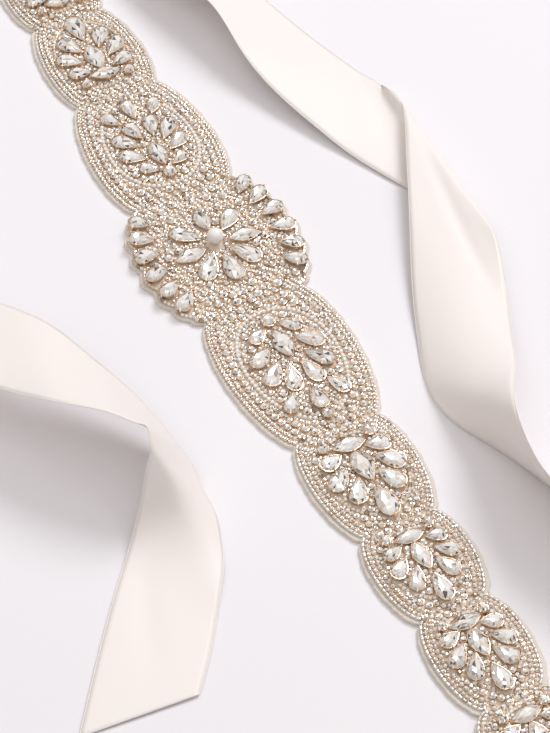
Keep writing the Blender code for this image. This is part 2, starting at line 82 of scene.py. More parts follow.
# Large stones of each kind, in a motif of the length and half width below.
# Along runs the way the motif opens, a stone's wide end points along its heading,
# and a pair has its twin on the other side.
STONES = {
    "small": (
        # shape, along, side, heading, length, width, pair
        ("navette", -13.5, 0, 90, 14.5, 7.5, False),
        ("navette", -3, 0, 0, 16.5, 8.6, False),
        ("pear", -9.2, 9.4, 72, 10.5, 6.8, True),
        ("pear", -1, 10.4, 50, 12.5, 7.6, True),
        ("pear", 6.4, 6.8, 28, 13, 7.6, True),
        ("pear", 14.6, 0, 0, 15, 8.4, False),
        ("round", -16, 9.6, 0, 4.6, 4.6, True),
    ),
    "big": (
        ("round", -21.6, 0, 0, 6, 6, False),
        ("pear", -16.5, 6.8, 62, 9.5, 6, True),
        ("navette", -9.5, 0, 0, 16, 8.2, False),
        ("pear", -7, 10.2, 58, 12.5, 7.2, True),
        ("pear", 2.2, 9.6, 40, 13.5, 7.6, True),
        ("pear", 7, 4.1, 14, 13, 7.2, True),
        ("pear", 17.4, 9.8, 33, 10.5, 6.4, True),
        ("pear", 19.6, 0, 0, 11.5, 7, False),
        ("round", 27.8, 0, 0, 4.6, 4.6, False),
    ),
    "medallion": (
        ("pear", 9, -7.8, -38, 14.5, 7.8, False),
        ("pear", 12.8, 0, 0, 15, 8.2, False),
        ("pear", 9, 7.8, 38, 14.5, 7.8, False),
        ("navette", 0.8, 11.8, 84, 14.5, 7.2, True),
        ("pear", -9.2, 9.4, 132, 13.5, 7.4, True),
        ("navette", -13.8, 0, 180, 13, 7, False),
        ("pear", 20.3, 23.6, 49, 11, 6.8, True),
        ("pear", 12.2, 26.2, 65, 11, 6.8, True),
        ("pear", 2.9, 27.4, 84, 11, 6.8, True),
        ("pear", -6.7, 27.2, 104, 11, 6.8, True),
        ("pear", -15.6, 25.4, 122, 11, 6.8, True),
        ("pear", -23.5, 22.8, 136, 9.5, 6.2, True),
    ),
}
KIND_LENGTH = {"small": 48, "big": 68, "medallion": 63.5}
KIND_WIDTH = {"small": 21.2, "big": 26.2, "medallion": 31.2}

# The ties at the photo's upper left and lower right: a row for each section across,
# with both selvedges and the rise of its middle.
TIE_A = (
    # along, left x, y and z, right x, y and z, bow
    (0, -262, -19, 0.8, -262, 19, 0.8, 0),
    (34, -296, -19, 0.8, -296, 19, 0.8, 0),
    (70, -333.5, -19.1, 2.3, -327.7, 17.3, 12.9, 0),
    (105, -367.8, -13.2, 0.8, -355.8, 7.6, 31.2, 0),
    (140, -393.7, -24.8, 9.3, -376.2, -22, 42.9, 0),
    (175, -391, -56.8, 9.3, -375, -58.1, 44, 0),
    (210, -364.1, -73.4, 2.2, -356.2, -88.9, 37.1, 0),
    (250, -327.1, -81.9, 1.2, -321.5, -110.4, 28.3, 0),
    (290, -290, -91.1, 0.8, -280.9, -120.1, 28.3, 0),
    (330, -252.7, -100.2, 0.9, -239.7, -124.6, 33.2, 0),
    (370, -216, -111.9, 0.8, -198.4, -128.6, 37.4, 0),
    (410, -180.6, -127.2, 0.9, -157.2, -133.5, 39.4, 0),
    (450, -145.2, -142.6, 2.5, -116.1, -138.9, 39.2, 0),
    (485, -112.4, -151.3, 3, -80.3, -143.3, 37.8, 0),
    (515, -83.2, -148, 0.9, -49.9, -145, 35.8, 0),
    (545, -57.5, -132.2, 2.2, -20.6, -141.9, 31.9, 0),
    (626.7, 9.6, -87.4, 23.6, 50.3, -106.6, 31.5, 0),
    (642.6, 23.8, -78.9, 23.5, 62.3, -98.1, 36, 0),
    (656.1, 37.1, -72.2, 19.1, 71.2, -90.3, 38.4, 0),
    (668.4, 50.4, -65.9, 15, 78.3, -83.6, 39.7, 0),
    (679.9, 64.4, -60.7, 10.6, 84.3, -78.4, 39.3, 0),
    (689.7, 78.1, -57.4, 7, 88.2, -75.3, 39.1, 0),
    (697.6, 89.8, -55.7, 4, 90, -72.8, 38, 0),
    (704.8, 100.4, -55.9, 1.8, 93, -72.9, 35.4, 0),
    (713.7, 112.7, -56.8, 0.8, 96.7, -74.5, 31.3, 0),
    (723.2, 123.6, -60.2, 0.8, 97.4, -76.9, 23.2, 0),
    (731.9, 132.2, -63.6, 1.1, 99.1, -79.4, 14.1, 0),
    (742.6, 140.1, -68.3, 1.6, 105.8, -86, 5, 0),
    (764.6, 153.6, -77.4, 0.9, 126.1, -103.5, 0.8, 0),
    (783.9, 164.5, -84.9, 0.8, 146.2, -119.2, 0.8, 0),
    (810, 178, -96, 1.2, 174.3, -139.8, 0.8, 0),
)
TIE_B = (
    # along, left x, y and z, right x, y and z, bow
    (0, 262, 19, 0.8, 262, -19, 0.8, 0),
    (34, 296, 19, 0.8, 296, -19, 0.8, 0),
    (70, 333.5, 18.9, 2.2, 328, -17.6, 12.5, 0),
    (105, 367.7, 13.4, 0.8, 356.8, -8.7, 30.4, 0),
    (140, 395.7, 22.5, 7.8, 380.2, 17.6, 42.2, 0),
    (175, 395.2, 54.7, 9.3, 382.3, 52.7, 45.1, 0),
    (210, 366.4, 71.5, 3.1, 361.6, 79.9, 40, 0),
    (250, 325.8, 72.5, 1.3, 324.5, 89.2, 35.3, 0),
    (295, 278.8, 70.5, 0.8, 282.1, 82.1, 37.1, 0),
    (340, 231.3, 70.1, 0.8, 241.3, 69.7, 38.6, 0),
    (375, 194.2, 66.4, 1.5, 210.7, 57.9, 37.5, 0),
    (400, 167.7, 60.9, 1.9, 189.3, 49.4, 36, 0),
    (420, 146.7, 54.5, 1.5, 171.7, 44.9, 36, 0),
    (436, 130.3, 48.1, 0.9, 157.4, 45.5, 37, 0),
    (452, 114.1, 41.1, 0.8, 143.6, 49.1, 36.4, 0),
    (467, 97.8, 40.3, 1.5, 132, 54.6, 32.9, 0),
    (483, 80.7, 45.8, 1.6, 121.7, 61.8, 26.6, 0),
    (498, 65, 52.4, 2.5, 112.4, 68.2, 19.9, 0),
    (514, 48.4, 60, 4.4, 101.5, 74.1, 13.8, 0),
    (532, 30, 69.3, 6.8, 88.3, 80.7, 9.6, 0),
    (551.5, 10.1, 79.4, 8, 73.3, 87.6, 8.7, 0),
    (572, -11, 90, 8.3, 57.4, 93.9, 10.5, 0),
    (588, -27.4, 98.2, 7.8, 44.7, 97.1, 11.1, 0),
    (596, -35.7, 100.7, 6.8, 38.1, 97.1, 9.4, 0),
    (604, -44.1, 99.9, 5.4, 31.6, 95.7, 7.2, 0),
    (612, -50, 100, 2.6, 22, 90.5, 3.2, 0),
    (624, -57.5, 97.5, 1.4, 7.5, 83.8, 1.2, 0),
    (640, -63.2, 95.5, 0.8, -8.4, 76.4, 1.3, 0.8),
    (657, -69.9, 93.4, 0.8, -23.9, 69.6, 2.2, 1.2),
    (674, -78.9, 90.6, 0.8, -38.8, 64.1, 4.4, 1.5),
    (692, -91, 87.1, 0.8, -53.8, 59.1, 6.5, 1.8),
    (710, -106.7, 83.2, 0.8, -70.5, 54.6, 9.7, 1.8),
    (730, -122.9, 79.5, 0.8, -88, 51.9, 14.9, 1.5),
    (750, -139.4, 75.7, 0.8, -106.8, 50.5, 20.3, 1),
    (772, -156.2, 72.1, 0.8, -128.3, 44.8, 20.1, 0.6),
    (796, -173.3, 68.8, 0.8, -151.3, 38, 16.9, 0),
    (822, -190.2, 65.6, 0.9, -174.8, 31.5, 12.1, 0),
    (850, -206.9, 62.3, 0.9, -198.1, 25.7, 6.7, 0),
    (872, -223.3, 58.9, 0.8, -221.4, 20.4, 0.8, 0),
)
TIES = {"a": TIE_A, "b": TIE_B}
TIE_NODES = {
    "a": ("root", "turn_out", "turn_back", "run_far", "run_near", "crest", "end"),
    "b": ("root", "turn_out", "turn_back", "return", "slope", "fold", "under"),
}
TIE_START = 4.0
RIBBON_WIDTH_M = 0.038
RIBBON_SKIN = 0.5
RIBBON_STEP = 2.0
RIBBON_COLUMNS = 20
PICOT_PITCH = 1.1
PICOT_RADIUS = 0.34
PICOT_SIDES = 5
PICOT_SWELL = (0.62, 1, 0.92)
PICOT_OUT = 0.25

# A selvedge this low, on a ribbon that stands steeper than this rise of its normal,
# comes down to touch the surface.
SETTLE_BELOW = 3.0
SETTLE_HEIGHT = 0.3
SETTLE_NORMAL = 0.92

# Soft creases pressed into each ribbon: where along and across it, how long,
# wide and deep, and how far each slants from the ribbon's run.
CREASES = (
    # tie, along, share, length, width, depth, slant
    ("a", 640, 0.55, 46, 9, 0.5, 22),
    ("a", 508, 0.4, 60, 12, 0.7, -16),
    ("a", 338, 0.6, 70, 14, 0.6, 30),
    ("a", 770, 0.35, 40, 10, 0.5, 18),
    ("b", 455, 0.5, 52, 10, 0.8, -24),
    ("b", 318, 0.45, 66, 13, 0.6, 20),
    ("b", 566, 0.5, 50, 11, 0.7, 28),
    ("b", 700, 0.4, 74, 15, 0.6, -20),
    ("b", 800, 0.6, 60, 12, 0.5, 24),
)

# Rows of small beads that follow a motif's edge, from the rim inwards. An open
# row runs along both sides, and a closed one is an oval inside the motif.
ROWS = {
    "small": (
        # inset, bead, length, width, pitch, closed
        (0.6, "tube", 1.9, 1.15, 2.1, False),
        (2.1, "chaton", 1.8, 1.8, 1.9, False),
        (4.05, "chaton", 2.1, 2.1, 2.24, False),
        (6.1, "seed", 1.5, 1.6, 1.7, True),
    ),
    "big": (
        (0.7, "chaton", 1.8, 1.8, 1.9, False),
        (2.6, "chaton", 2, 2, 2.12, False),
        (5.1, "chaton", 3.1, 3.1, 3.24, False),
        (7.8, "pearl", 1.9, 1.9, 2, True),
    ),
    "medallion": (
        (0.6, "seed", 1.5, 1.5, 1.62, False),
    ),
}

# What fills the rest of a motif: each bead in turn, its size, how many are
# set at most, and the least inset from the rim.
FILLING = {
    "small": (
        # bead, length, width, most, inset
        ("chaton", 3, 3, 24, 4.5),
        ("chaton", 2.3, 2.3, 50, 3.6),
        ("chaton", 1.8, 1.8, 110, 2.6),
        ("pearl", 1.7, 1.7, 14, 3),
        ("seed", 1.4, 1.45, 300, 0.9),
    ),
    "big": (
        ("chaton", 3.5, 3.5, 26, 6.5),
        ("chaton", 2.6, 2.6, 70, 6),
        ("chaton", 1.9, 1.9, 260, 4),
        ("pearl", 1.9, 1.9, 30, 5),
        ("seed", 1.5, 1.5, 400, 0.9),
    ),
    "medallion": (
        ("chaton", 3.8, 3.8, 24, 2.4),
        ("chaton", 2.8, 2.8, 90, 1.8),
        ("chaton", 1.9, 1.9, 330, 1.2),
        ("pearl", 1.9, 1.9, 24, 3),
        ("seed", 1.5, 1.5, 500, 0.9),
    ),
}
GRID_STEP = 0.2
PACKING = 0.87
ROW_PACKING = 0.8
FILL_TURN = 1.2
LARGEST_BEAD = 6.0

# The bed the beads are sewn to: its height over the backing's underside, by the
# share of the way from a motif's middle to its rim.
BED_SHARES = (0.0, 0.5, 0.8, 0.95, 1.0, 1.4)
BED_HEIGHTS = (3.15, 3.0, 2.5, 2.05, 1.75, 1.70)
BED_POWER = 4.0
BED_COLUMNS = 36
BED_ROWS = 24
BED_INSET = 0.25

# Painted reflections on the facets of cut stones and chatons: each facet's tint stands in for what
# it would mirror, white, champagne, grey and dark. Then the tints of small beads. Each table with
# its odds.
FACET_REFLECTION_TINTS = (
    # odds, red, green, blue
    (0.50, 1.00, 0.98, 0.95),
    (0.18, 0.98, 0.93, 0.88),
    (0.12, 0.80, 0.73, 0.66),
    (0.08, 0.44, 0.38, 0.33),
    (0.05, 0.12, 0.09, 0.07),
    (0.07, 0.93, 0.76, 0.60),
)
BEAD_TINTS = {
    # bead: odds, red, green, blue
    "seed": (
        (0.44, 0.98, 0.89, 0.78),
        (0.26, 1.00, 0.98, 0.95),
        (0.16, 0.90, 0.76, 0.60),
        (0.14, 0.46, 0.33, 0.22),
    ),
    "tube": (
        (0.70, 1.00, 0.97, 0.93),
        (0.20, 0.92, 0.84, 0.75),
        (0.10, 0.70, 0.58, 0.46),
    ),
    "pearl": (
        (0.60, 1.00, 0.96, 0.91),
        (0.40, 0.97, 0.91, 0.83),
    ),
}
CUP_TINT = (0.90, 0.70, 0.52)
BACKING_LOW = (0.66, 0.58, 0.50)
BACKING_HIGH = (0.84, 0.76, 0.68)
FLOOR_LOW = (0.864, 0.835, 0.858)
FLOOR_HIGH = (0.887, 0.858, 0.881)
SKY_LOW = (0.38, 0.355, 0.335)
SKY_HIGH = (1.0, 0.985, 0.965)
NET_TINT = (1.0, 0.87, 0.74)

PAINTS = ("net", "crystal", "cup", "seed", "pearl")

# A cut stone: its corners round the girdle, the corners that carry a prong, the
# curves of its outline, its share of the cup, its facets, its claws, its heights
# over the motif's base, and how far it may tilt.
GIRDLE_POINTS = {"round": 12, "navette": 16, "pear": 16}
PRONGS = {"round": (1, 4, 7, 10), "navette": (0, 4, 8, 12), "pear": (0, 3, 8, 13)}
CLAW_FACES = np.array([(0, 1, 2), (0, 2, 3), (3, 2, 4), (3, 4, 5), (1, 0, 5), (1, 5, 4),
                       (1, 4, 2), (0, 3, 5)])
NAVETTE_POWERS = (1.7, 0.92)
PEAR_POWER = 0.55
PEAR_MIDDLE = 0.12
STONE_IN_CUP = 0.94
KITE_SHARE = 0.80
KITE_RISE = 0.55
TABLE_SHARE = 0.54
TABLE_DIP = 0.30
CLAW_FOOT = 0.7
CLAW_SHOULDER = 0.35
CLAW_RISE = 0.62
STONE_FOOT = 0.9
STONE_GIRDLE = 3.2
STONE_TOP = 4.8
STONE_TILT = 0.20

# A chaton of unit width: radius and height down its cup, round its girdle and its
# table, and the height of its middle.
CHATON_SIDES = 8
CHATON_CUP = ((0.36, 0.0), (0.5, 0.20), (0.5, 0.46), (0.43, 0.48))
CHATON_GIRDLE = (0.44, 0.46)
CHATON_TABLE = (0.25, 0.70)
CHATON_MIDDLE = 0.63

# Small beads: how much they vary in size, sink into the bed and tilt.
BEAD_WOBBLE = 0.08
BEAD_SINK = 0.12
BEAD_TILT = 0.22

# The medallion's pearl: how far off the middle and over the motif's base.
PEARL_OFF = 1.8
PEARL_FOOT = 2.2
PEARL_SIDES = 28
PEARL_TINT = (0.97, 0.94, 0.90)

rng = np.random.default_rng(27)


# The form of the band.


def lift(x):
    """Rise of the band's ends over the roots of the ties."""
    return LIFT_SLOPE * np.maximum(np.abs(x) - LIFT_START, 0.0)


def half_width(motif, share):
    """Half width of a motif at a share of its length."""
    share = np.clip(share, 0.0, 1.0)
    hump = 4 * share * (1 - share)
    even = motif.first + (motif.last - motif.first) * share
    swell = (motif.widest - (motif.first + motif.last) / 2) * hump ** SWELL
    petal = 0.0
    if motif.kind == "medallion":
        turn = np.degrees(np.arccos((2 * share - 1) * PETAL_SPREAD))
        petal = np.abs(np.cos(math.pi * (turn - PETAL_START) / PETAL_TURN))
        petal = petal * PETAL_DEPTH * hump ** PETAL_FADE
    return even + swell + petal


def side_points(motif, count):
    """Points along the far side of a motif, from its first end to its last."""
    share = np.linspace(0.0, 1.0, count + 1)
    if motif.first == 0.0:
        share = 1.0 - np.cos(share * math.pi / 2)
    if motif.last == 0.0:
        share = np.sin(share * math.pi / 2)
    x = motif.start + (motif.end - motif.start) * share
    return np.stack([x, half_width(motif, share)], 1)


def centre_of(motif):
    """Where a motif's middle is along X."""
    return (motif.start + motif.end) / 2


def placed_stones(motif):
    """Stones of a motif: shape, x, y, heading, length and width."""
    along = (motif.end - motif.start) / KIND_LENGTH[motif.kind]
    across = motif.widest / KIND_WIDTH[motif.kind]
    size = min(along, across)
    rows = []
    for shape, u, v, heading, length, width, pair in STONES[motif.kind]:
        for hand in (1, -1) if pair else (1,):
            angle = math.radians(heading * hand)
            if motif.opens < 0:
                angle = math.pi - angle
            x = centre_of(motif) + u * along * motif.opens
            rows.append((shape, x, v * across * hand, angle, length * size, width * size))
    return rows


def bed_height(motif, x, y):
    """Height of the cloth bed under a motif's beads."""
    centre, half = centre_of(motif), (motif.end - motif.start) / 2
    wide = np.maximum(half_width(motif, (x - motif.start) / (2 * half)), 0.5)
    share = (np.abs((x - centre) / half) ** BED_POWER + np.abs(y / wide) ** BED_POWER)
    return np.interp(share ** (1 / BED_POWER), BED_SHARES, BED_HEIGHTS) + lift(x)


# Building meshes.


def filled_mesh(name, points, faces):
    """A mesh of points in millimetres."""
    mesh = bpy.data.meshes.new(name)
    mesh.from_pydata(np.asarray(points) * MM, [], faces)
    return mesh


def linked(name, data):
    """A new object in the scene."""
    item = bpy.data.objects.new(name, data)
    bpy.context.scene.collection.objects.link(item)
    return item


class Pile:
    """Triangles gathered for one piece, each with a paint and a tint."""

    def __init__(self):
        self.blocks = []
        self.count = 0

    def add(self, points, faces, paint, tint, smooth=False):
        """Add a block of points and triangles; tint is one colour or one a face."""
        size = len(faces)
        self.blocks.append((points, faces + self.count, np.broadcast_to(tint, (size, 3)),
                            np.full(size, PAINTS.index(paint), np.int32),
                            np.full(size, smooth)))
        self.count += len(points)

    def build(self, name, materials):
        """Turn the blocks into one object."""
        points, faces, tints, paints, smooth = map(np.concatenate, zip(*self.blocks))
        mesh = filled_mesh(name, points, faces)
        for material in materials:
            mesh.materials.append(material)
        mesh.polygons.foreach_set("material_index", paints)
        mesh.polygons.foreach_set("use_smooth", smooth)
        # Each face's tint goes to its corners; on crystal faces the tint is a painted reflection.
        tint = mesh.color_attributes.new("tint", "FLOAT_COLOR", "CORNER")
        corners = np.repeat(tints, 3, axis=0)
        full = np.concatenate([corners, np.ones((len(corners), 1))], 1)
        tint.data.foreach_set("color", full.astype(np.float32).ravel())
        mesh.validate()
        return linked(name, mesh)


def ring_faces(rings, count):
    """Triangles of a closed tube of rings, without its two ends."""
    ring, side = np.divmod(np.arange((rings - 1) * count), count)
    a = ring * count + side
    b = ring * count + (side + 1) % count
    return np.concatenate([np.stack([a, b, b + count], 1),
                           np.stack([a, b + count, a + count], 1)])


def tube_quads(rings, size, flip=False):
    """Quads of a closed tube of rings, without its two ends."""
    faces = []
    for k in range(rings - 1):
        for side in range(size):
            a, b = size * k + side, size * k + (side + 1) % size
            faces.append((a, a + size, b + size, b) if flip else (a, b, b + size, a + size))
    return faces


def fan(first, count, up=True):
    """Triangles that close one flat ring."""
    order = [(first, first + k, first + k + 1) for k in range(1, count - 1)]
    return np.array(order if up else [(a, c, b) for a, b, c in order])


def turned(profile, count):
    """A turned form about Z: rows of radius and height from its foot to its top."""
    angle = np.arange(count) * 2 * math.pi / count
    points = [(r * math.cos(a), r * math.sin(a), z) for r, z in profile for a in angle]
    last = (len(profile) - 1) * count
    faces = [ring_faces(len(profile), count), fan(0, count, False), fan(last, count)]
    return np.array(points), np.concatenate(faces)


def ball_form():
    """A pearl of unit width, cut flat where it is sewn on."""
    polar = np.radians((48, 80, 112, 140, 165))
    return turned([(0.5 * math.sin(p), 0.5 - 0.5 * math.cos(p)) for p in polar], 10)


def seed_form(shoulder):
    """A seed or tube bead of unit length and width, lying along X."""
    rows = ((0.26, -0.46), (0.5 * shoulder, -0.5), (0.5, -0.28), (0.5, 0.28),
            (0.5 * shoulder, 0.5), (0.26, 0.46))
    points, faces = turned(rows, 7)
    return points[:, [2, 0, 1]] + (0, 0, 0.5), faces


def placed(form, x, y, z, headings, scales, tilts):
    """Copies of a form, turned, scaled and set in place."""
    points, faces = form
    cos, sin = np.cos(headings)[:, None], np.sin(headings)[:, None]
    u, v, w = np.moveaxis(points * scales[:, None, :], 2, 0)
    w = w + (u * tilts[:, :1] + v * tilts[:, 1:])
    out = np.stack([u * cos - v * sin + x[:, None], u * sin + v * cos + y[:, None],
                    w + z[:, None]], 2)
    shift = np.arange(len(x))[:, None, None] * len(points)
    return out.reshape(-1, 3), (faces[None] + shift).reshape(-1, 3)


def drawn_tints(rows, count):
    """Colours drawn from a table of odds."""
    table = np.array(rows)
    odds = table[:, 0] / table[:, 0].sum()
    return table[rng.choice(len(table), count, p=odds), 1:]


def cup_tints(count, low, spread):
    """Shades of the cups' metal, from a lowest share upwards."""
    return np.array(CUP_TINT) * (low + spread * rng.random((count, 1)))


# Cut stones.


def stone_girdle(shape, length, width, count):
    """Outline of a stone, its wide end along +X, evenly spaced round its middle."""
    turn = np.arange(count) * 2 * math.pi / count
    if shape == "round":
        return np.stack([np.cos(turn) * length / 2, np.sin(turn) * width / 2], 1)
    u = np.cos(turn)
    if shape == "navette":
        v = np.sign(np.sin(turn)) * (1 - np.abs(u) ** NAVETTE_POWERS[0]) ** NAVETTE_POWERS[1]
    else:
        v = np.sign(np.sin(turn)) * np.sqrt(np.maximum(1 - u * u, 0))
        v = v * (0.5 + 0.5 * u) ** PEAR_POWER
        v = v / np.abs(v).max()
    return np.stack([u * length / 2, v * width / 2], 1)


def placed_once(form, x, y, heading, tilt):
    """One copy of a form, turned, tilted and set in place at its own height."""
    return placed(form, np.array([x]), np.array([y]), np.zeros(1), np.array([heading]),
                  np.ones((1, 3)), np.array([tilt]))


def stone_crown(shape, length, width, girdle, top):
    """The faceted crown of a stone: a girdle, a ring of kite corners and a table."""
    count = GIRDLE_POINTS[shape]
    middle = stone_middle(shape, length)
    crown = stone_girdle(shape, length * STONE_IN_CUP, width * STONE_IN_CUP, count)
    band = middle + (crown - middle) * KITE_SHARE
    band = (band + np.roll(band, -1, axis=0)) / 2
    table = middle + (crown[::2] - middle) * TABLE_SHARE
    high = len(table)
    points = [(*p, girdle) for p in crown]
    points += [(*p, girdle + (top - girdle) * KITE_RISE) for p in band]
    points += [(*p, top - 0.02) for p in table]
    points.append((*middle, top - TABLE_DIP))
    faces = [(k, (k + 1) % count, count + k) for k in range(count)]
    for j in range(high):
        k, before, after = 2 * j, (2 * j - 1) % count, (2 * j + 1) % count
        t, t_next = 2 * count + j, 2 * count + (j + 1) % high
        kite = count + k
        faces += [(k, kite, t), (count + before, k, t), (kite, t_next, t),
                  (kite, after, count + after), (kite, count + after, t_next),
                  (t, t_next, 2 * count + high)]
    return np.array(points), np.array(faces)


def stone_middle(shape, length):
    """The spot a stone's facets gather round."""
    return np.array([PEAR_MIDDLE * length if shape == "pear" else 0.0, 0.0])


def cut_stone(pile, row, tilt):
    """One faceted stone in its cup with prongs."""
    shape, x, y, heading, length, width = row
    base = MOTIF_BASE + float(lift(x))
    foot, girdle, top = base + STONE_FOOT, base + STONE_GIRDLE, base + STONE_TOP
    count = GIRDLE_POINTS[shape]
    middle = stone_middle(shape, length)
    rise = top - girdle
    solid, faces = placed_once(stone_crown(shape, length, width, girdle, top),
                               x, y, heading, tilt)
    # The crown's facets get painted reflections: a tint drawn at random for each facet.
    pile.add(solid, faces, "crystal", drawn_tints(FACET_REFLECTION_TINTS, len(faces)))
    rim = stone_girdle(shape, length, width, count)
    walls = ((0.80, foot), (1.0, girdle - 0.25), (1.0, girdle + 0.12), (0.93, girdle + 0.14))
    cup = []
    for share, height in walls:
        cup += [(*(middle + (p - middle) * share), height) for p in rim]
    form = (np.array(cup), np.concatenate([ring_faces(4, count), fan(0, count, False)]))
    solid, faces = placed_once(form, x, y, heading, tilt)
    pile.add(solid, faces, "cup", cup_tints(len(faces), 0.75, 0.35))
    for k in PRONGS[shape]:
        p, ahead, back = rim[k], rim[(k + 1) % count], rim[k - 1]
        along = (ahead - back) / max(np.linalg.norm(ahead - back), 1e-6)
        inward = (middle - p) / np.linalg.norm(middle - p)
        low = p - inward * 0.25
        tip = p + inward * 0.85
        claw = [(*(low - along * 0.38), girdle - CLAW_FOOT),
                (*(low + along * 0.38), girdle - CLAW_FOOT),
                (*(low + along * 0.30), girdle + CLAW_SHOULDER),
                (*(low - along * 0.30), girdle + CLAW_SHOULDER),
                (*(tip + along * 0.14), girdle + rise * CLAW_RISE),
                (*(tip - along * 0.14), girdle + rise * CLAW_RISE)]
        solid, sides = placed_once((np.array(claw), CLAW_FACES), x, y, heading, tilt)
        pile.add(solid, sides, "cup", np.array(CUP_TINT) * 1.12)


def chaton_form():
    """A small round stone of unit width: its cup, and its crown."""
    count = CHATON_SIDES
    cup, faces = turned(CHATON_CUP, count)
    walls = 2 * count * (len(CHATON_CUP) - 1)
    foot = count - 2
    cup_faces = faces[: walls + foot]
    angle = np.arange(count) * 2 * math.pi / count
    crown = []
    for (radius, height), turn in ((CHATON_GIRDLE, 0.0), (CHATON_TABLE, math.pi / count)):
        crown += [(radius * math.cos(a + turn), radius * math.sin(a + turn), height)
                  for a in angle]
    crown.append((0.0, 0.0, CHATON_MIDDLE))
    faces = []
    for k in range(count):
        n = (k + 1) % count
        faces += [(k, n, count + k), (count + k, n, count + n), (count + k, count + n, 2 * count)]
    return (cup, cup_faces), (np.array(crown), np.array(faces))


# Placing beads.


def nearest(x, y, points):
    """How far each spot is from the nearest of some points."""
    far = np.full(x.shape, 99.0)
    for px, py in points:
        far = np.minimum(far, np.hypot(x - px, y - py))
    return far


class Room:
    """How far each spot of a motif is from the rim and from what is placed already."""

    def __init__(self, motif):
        self.x0, self.x1 = motif.start - 1.0, motif.end + 1.0
        self.reach = motif.widest + 3.0
        xs = np.arange(self.x0, self.x1, GRID_STEP)
        ys = np.arange(-self.reach, self.reach, GRID_STEP)
        self.xx, self.yy = np.meshgrid(xs, ys, indexing="ij")
        side = side_points(motif, 90)
        edge = np.concatenate([side, side * (1, -1)])
        inside = np.abs(self.yy) < np.interp(self.xx, side[:, 0], side[:, 1])
        inside &= (self.xx > motif.start) & (self.xx < motif.end)
        far = nearest(self.xx, self.yy, edge)
        self.rim = np.where(inside, far, -1.0)
        ends = np.minimum(self.xx - motif.start, motif.end - self.xx)
        self.free = np.where(inside, np.minimum(far, ends + 0.15), -1.0)

    def cell(self, x, y):
        """Grid cell of a point, kept inside the grid."""
        i = int(round((x - self.x0) / GRID_STEP))
        j = int(round((y + self.reach) / GRID_STEP))
        return min(max(i, 0), self.xx.shape[0] - 1), min(max(j, 0), self.xx.shape[1] - 1)

    def take_stone(self, row):
        """Keep small beads off a stone."""
        shape, x, y, heading, length, width = row
        outline = stone_girdle(shape, length, width, 32)
        cos, sin = math.cos(heading), math.sin(heading)
        u = (self.xx - x) * cos + (self.yy - y) * sin
        v = -(self.xx - x) * sin + (self.yy - y) * cos
        top = outline[:17][::-1]
        half = np.interp(u, top[:, 0], top[:, 1])
        inside = (np.abs(u) < length / 2) & (np.abs(v) < half)
        far = nearest(u, v, outline)
        self.free = np.minimum(self.free, np.where(inside, -1.0, far))

    def take(self, x, y, radius):
        """Keep other beads off a round one."""
        i, j = self.cell(x, y)
        r = int(LARGEST_BEAD / GRID_STEP)
        part = (slice(max(i - r, 0), i + r + 1), slice(max(j - r, 0), j + r + 1))
        far = np.hypot(self.xx[part] - x, self.yy[part] - y) - radius
        self.free[part] = np.minimum(self.free[part], far)


def read_rows(marks, places, rows):
    """Rows of values at the places, read at the marks."""
    return np.stack([np.interp(marks, places, column) for column in rows.T], 1)


def resampled(path, pitch, closed):
    """Points and headings at an even pitch along a path."""
    if closed:
        path = np.concatenate([path, path[:1]])
    step = np.linalg.norm(np.diff(path, axis=0), axis=1)
    run = np.concatenate([[0.0], np.cumsum(step)])
    count = max(2, int(round(run[-1] / pitch)))
    marks = (np.arange(count) + 0.5) * run[-1] / count
    later, sooner = np.minimum(marks + 0.2, run[-1]), np.maximum(marks - 0.2, 0.0)
    turn = read_rows(later, run, path) - read_rows(sooner, run, path)
    return read_rows(marks, run, path), np.arctan2(turn[:, 1], turn[:, 0])


def inset_paths(motif, inset, closed):
    """Paths that run inside a motif's edge."""
    if closed:
        centre, half = centre_of(motif), (motif.end - motif.start) / 2
        turn = np.linspace(0, 2 * math.pi, 120, endpoint=False)
        cos, sin = np.cos(turn), np.sin(turn)
        x = centre + (half - 0.4 - inset * 0.75) * np.sign(cos) * np.abs(cos) ** 0.8
        wide = half_width(motif, (x - motif.start) / (2 * half)) - inset
        return [np.stack([x, wide * np.sign(sin) * np.abs(sin) ** 0.75], 1)]
    side = side_points(motif, 80)
    twin = side * (1, -1)
    lines = [side, twin]
    if motif.first == 0.0:
        lines = [np.concatenate([side[::-1], twin[1:]])]
    elif motif.last == 0.0:
        lines = [np.concatenate([side, twin[::-1][1:]])]
    paths = []
    for line in lines:
        run = np.gradient(line, axis=0)
        normal = np.stack([-run[:, 1], run[:, 0]], 1)
        normal /= np.maximum(np.linalg.norm(normal, axis=1), 1e-9)[:, None]
        centre = np.array([centre_of(motif), 0.0])
        inward = np.sign(np.sum((centre - line) * normal, axis=1))
        paths.append(line + normal * inward[:, None] * inset)
    return paths


